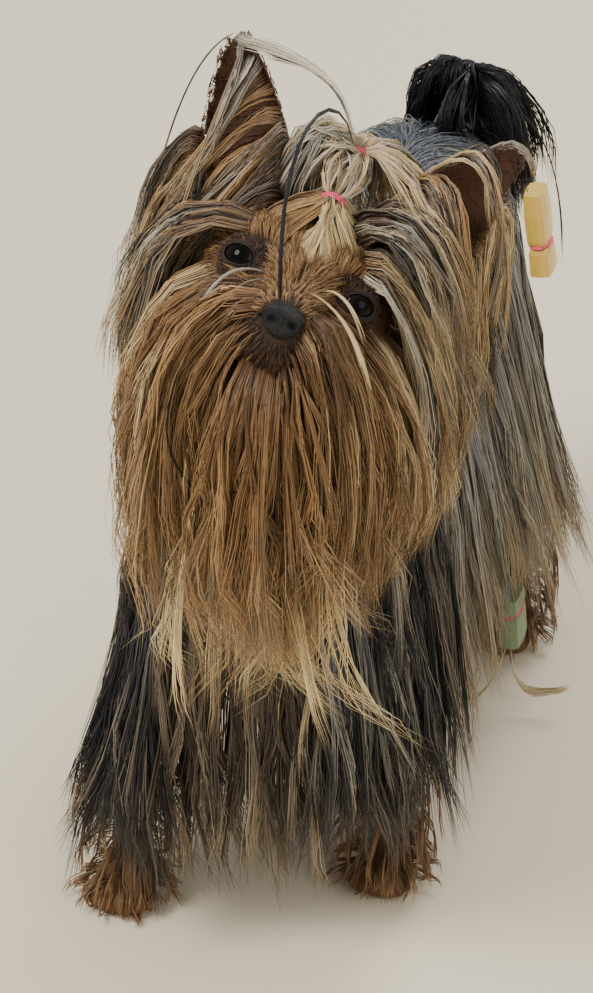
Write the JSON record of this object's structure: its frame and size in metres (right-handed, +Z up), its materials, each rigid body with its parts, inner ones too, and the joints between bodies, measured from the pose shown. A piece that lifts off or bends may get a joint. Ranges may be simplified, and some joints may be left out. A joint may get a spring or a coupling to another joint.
{
  "type": "yorkshire terrier model",
  "caption": "Life-size still model of a small long-coated terrier standing with its head raised, its hair gathered in a topknot, elastic bands and paper wraps.",
  "frame": {"origin": "on the floor, under the middle of the box around the whole dog", "axes": "+Z up; the dog faces -Y; its left side is +X"},
  "size_m": [0.1734, 0.3762, 0.3496],
  "materials": {
    "steel": "long silky hair, blue-grey and black",
    "tan": "long silky hair, golden tan",
    "cream": "long silky hair, cream to gold",
    "ear": "short dark brown fur",
    "black": "black, as on the nose leather and the tail's hair",
    "brown": "wet, polished dark brown eye",
    "pink": "smooth pink elastic",
    "yellow": "matt yellow paper",
    "green": "matt green patterned paper"
  },
  "bodies": {
    "root": {"torso": "steel", "head": "tan", "leg_front_left": "tan", "leg_front_right": "tan", "leg_hind_left": "tan", "leg_hind_right": "tan", "neck": "steel", "tail": "black", "eye_left": "brown", "eye_right": "brown", "nose": "black", "ear_left": "ear", "ear_right": "ear", "topknot": "cream", "topknot_band_front": "pink", "topknot_band_back": "pink", "wrap_yellow": "yellow", "wrap_yellow_band": "pink", "wrap_green": "green", "wrap_green_band": "pink"}
  },
  "joints": []
}
